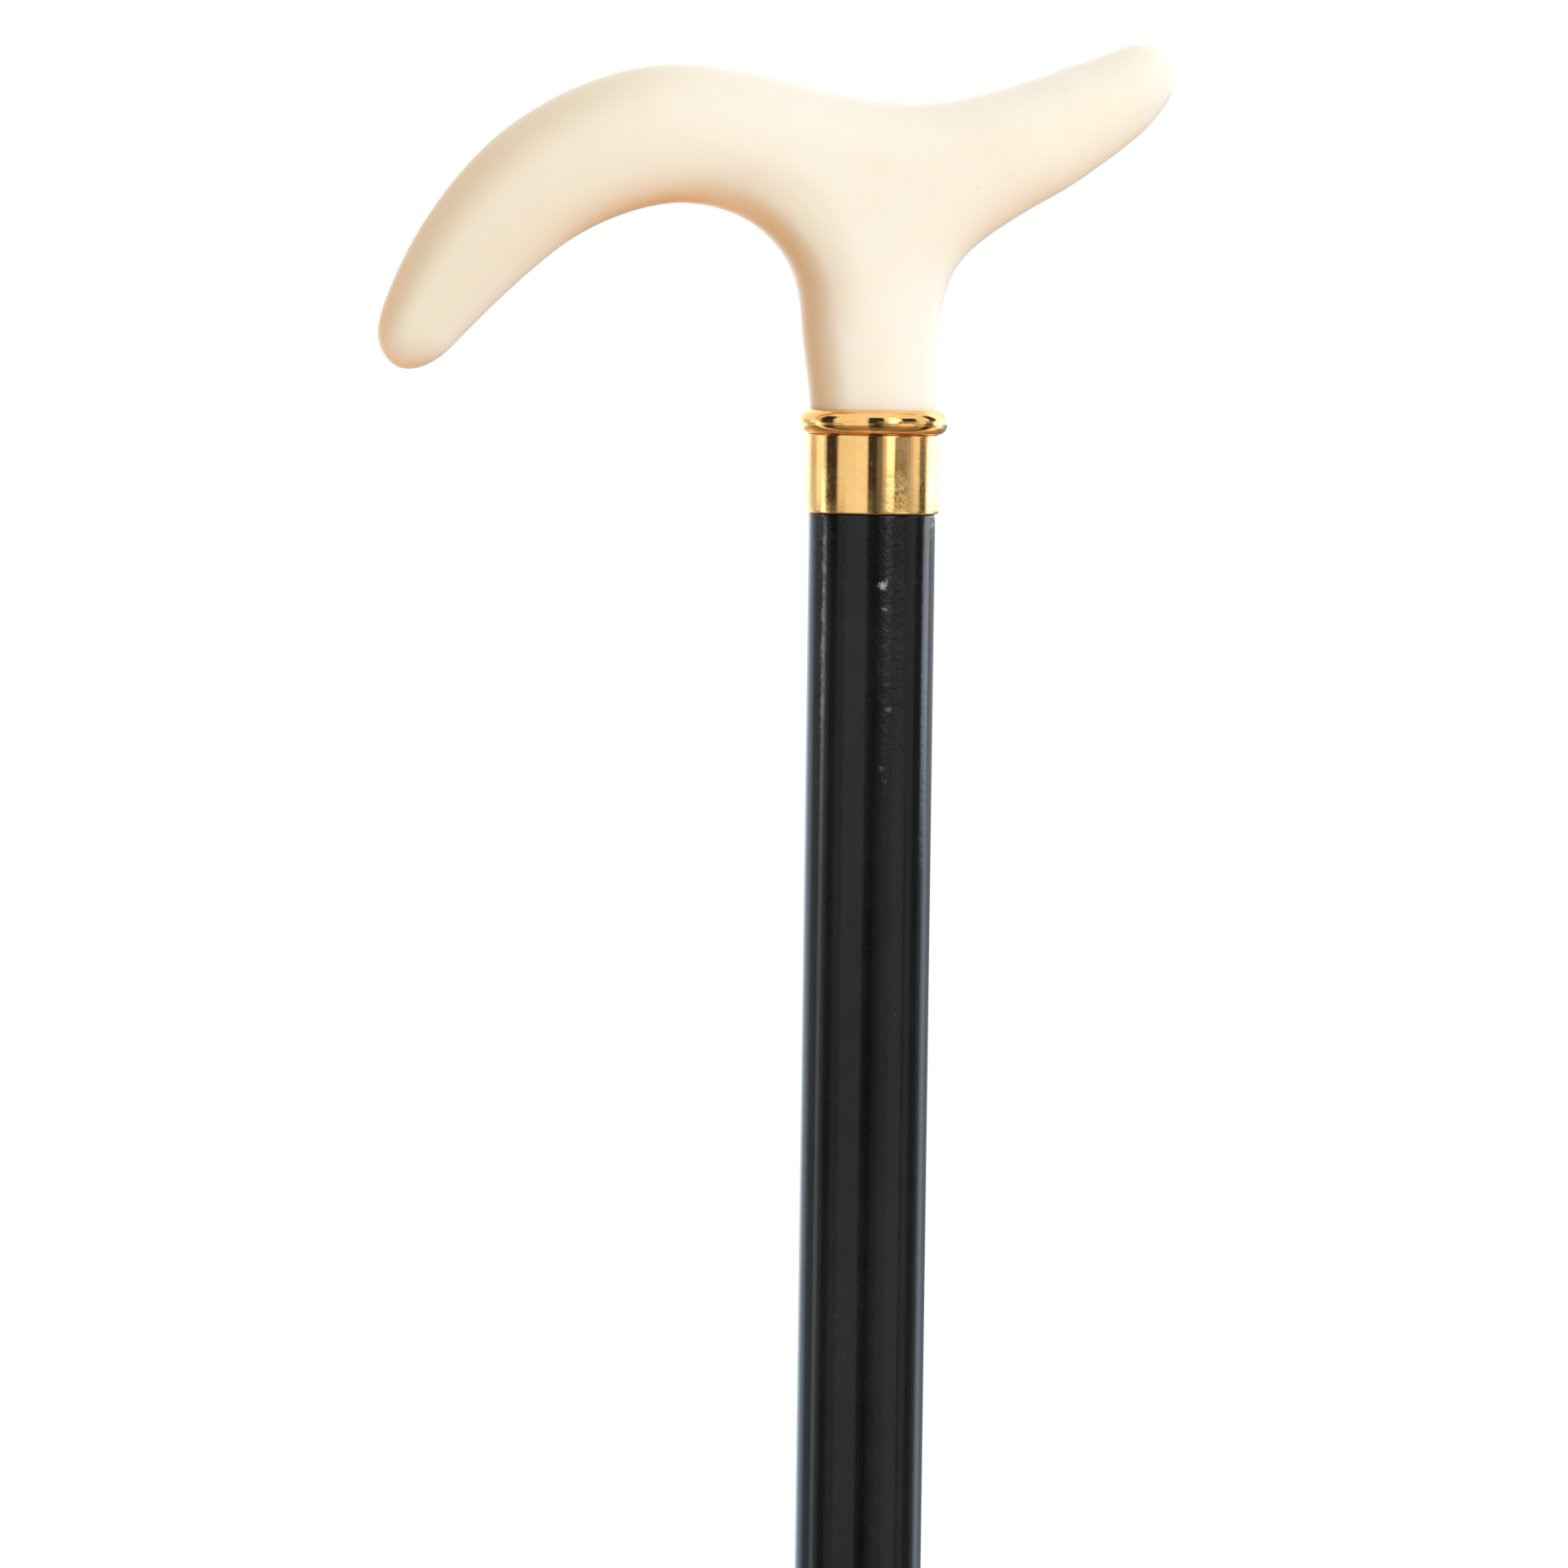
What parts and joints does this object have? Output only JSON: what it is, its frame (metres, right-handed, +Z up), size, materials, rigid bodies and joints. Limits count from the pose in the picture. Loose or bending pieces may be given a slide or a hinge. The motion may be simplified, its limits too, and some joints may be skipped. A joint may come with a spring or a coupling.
{
  "type": "walking stick",
  "caption": "Walking stick with a derby handle of ivory-coloured resin, a gilt collar, a black lacquered round shaft and a pull-off rubber ferrule.",
  "frame": {"origin": "middle of the ferrule's sole, on the ground, on the axis of the shaft", "axes": "+Z up along the shaft, -X towards the handle's long nose, +X towards its short tail, Y across the handle"},
  "size_m": [0.1248, 0.034, 0.9149],
  "materials": {
    "cast_resin": "polished",
    "gilt_brass": "polished",
    "turned_brass": "turned",
    "stud_steel": "zinc plated",
    "black_lacquer": "gloss lacquer",
    "ferrule_rubber": "matt",
    "washer_steel": "bare"
  },
  "bodies": {
    "stick": {"handle": "cast_resin", "handle_bush": "turned_brass", "joint_stud": "stud_steel", "shaft_bush": "turned_brass", "collar_bead": "gilt_brass", "collar_sleeve": "gilt_brass", "shaft": "black_lacquer"},
    "ferrule": {"ferrule": "ferrule_rubber", "ferrule_washer": "washer_steel"}
  },
  "joints": [
    {"name": "ferrule_pull", "type": "slide", "parent": "ferrule", "child": "stick", "axis": [0, 0, 1], "range_m": [0, 0.04]}
  ]
}
